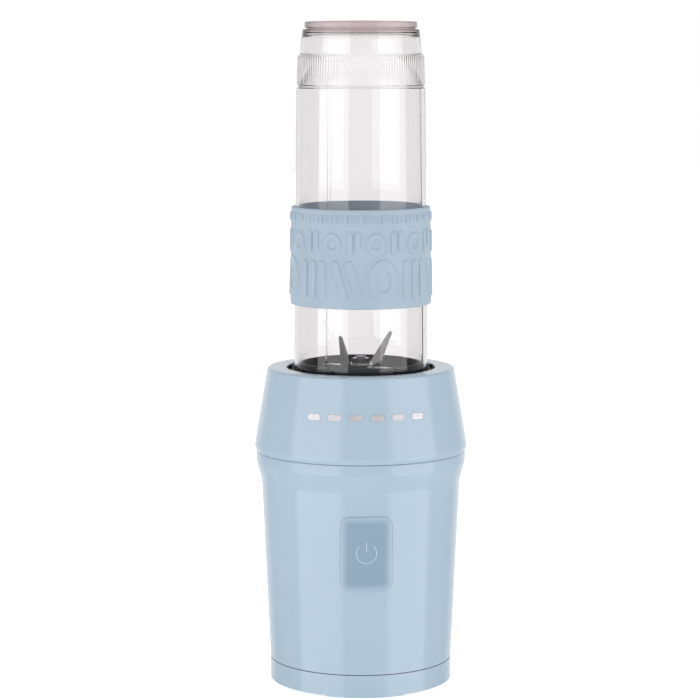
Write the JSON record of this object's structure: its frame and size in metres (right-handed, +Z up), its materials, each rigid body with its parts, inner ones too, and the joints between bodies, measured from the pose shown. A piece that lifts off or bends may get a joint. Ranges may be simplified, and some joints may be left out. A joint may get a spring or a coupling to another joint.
{
  "type": "bottle blender",
  "caption": "Personal countertop blender: tapered motor base with a push button, and an upside-down clear bottle with a grip sleeve on a twist-lock blade unit.",
  "frame": {"origin": "on the table plane under the feet, on the axis of the motor and bottle", "axes": "+Z up along the motor and bottle axis, -Y to the front with the power button, +X to the right seen from the front"},
  "size_m": [0.1222, 0.1222, 0.3799],
  "materials": {
    "base_plastic": "gloss",
    "button_plastic": "satin",
    "black_plastic": "satin",
    "inner_plastic": "matte",
    "rubber": "matte",
    "silicone": "matte",
    "seal": "matte",
    "clear": "clear",
    "steel": "brushed",
    "zinc": "plated",
    "lamination": "oxide",
    "copper": "enamelled wire",
    "bronze": "sintered",
    "carbon": "matte",
    "board": "satin"
  },
  "bodies": {
    "base": {"bottom_cover": "base_plastic", "lower_housing": "base_plastic", "collar": "base_plastic", "foot_back_left": "rubber", "foot_back_right": "rubber", "foot_front_left": "rubber", "foot_front_right": "rubber", "bottle_well": "black_plastic", "well_seal": "rubber", "case_screws": "zinc", "collar_screws": "zinc", "well_screws": "zinc", "cord_inlet": "black_plastic", "button_guide": "base_plastic", "control_board": "board", "start_switch": "black_plastic", "button_spring": "zinc", "stator_core": "lamination", "left_coil": "copper", "right_coil": "copper", "lower_motor_bracket": "inner_plastic", "upper_motor_bracket": "inner_plastic", "lower_bearing": "steel", "upper_bearing": "steel", "front_brush": "carbon", "back_brush": "carbon", "front_brush_holder": "bronze", "back_brush_holder": "bronze", "motor_bolts": "zinc", "motor_mounts": "rubber", "interlock_switch": "black_plastic"},
    "button": {"button_cap": "button_plastic", "switch_plunger": "inner_plastic"},
    "rotor": {"motor_shaft": "steel", "rotor_core": "lamination", "rotor_winding": "copper", "commutator": "copper", "cooling_fan": "inner_plastic", "drive_coupling": "black_plastic"},
    "locking_ring": {"lock_ring": "black_plastic"},
    "interlock": {"interlock_plunger": "inner_plastic"},
    "blade_unit": {"blade_holder": "black_plastic", "bottle_gasket": "seal", "blade_bushing": "bronze", "blade_seal": "seal"},
    "blades": {"blade_shaft": "steel", "driven_coupling": "black_plastic", "lower_blades": "steel", "upper_blades": "steel", "blade_nut": "steel"},
    "bottle": {"bottle": "clear", "bottle_sleeve": "silicone"}
  },
  "joints": [
    {"name": "button_press", "type": "slide", "parent": "base", "child": "button", "axis": [0, 1, 0], "range_m": [0, 0.0016], "stiffness_N_per_m": 900, "springref_m": -0.001, "deforming": ["button_spring"]},
    {"name": "motor_spin", "type": "hinge", "parent": "base", "child": "rotor", "pos_m": [0, 0, 0.08], "axis": [0, 0, 1], "continuous": true},
    {"name": "bottle_twist", "type": "hinge", "parent": "base", "child": "locking_ring", "pos_m": [0, 0, 0.152], "axis": [0, 0, 1], "range_deg": [-20, 0]},
    {"name": "interlock_push", "type": "slide", "parent": "base", "child": "interlock", "axis": [0, 0, -1], "range_m": [0, 0.002]},
    {"name": "bottle_lift", "type": "slide", "parent": "locking_ring", "child": "blade_unit", "axis": [0, 0, 1], "range_m": [0, 0.06]},
    {"name": "blade_spin", "type": "hinge", "parent": "blade_unit", "child": "blades", "pos_m": [0, 0, 0.18], "axis": [0, 0, 1], "continuous": true},
    {"name": "bottle_pull", "type": "slide", "parent": "blade_unit", "child": "bottle", "axis": [0, 0, 1], "range_m": [0, 0.06]}
  ],
  "couplings": [
    {"joint": "blade_spin", "follows": "motor_spin", "ratio": 1},
    {"joint": "interlock_push", "follows": "bottle_twist", "m_per_rad": -0.0057295}
  ]
}
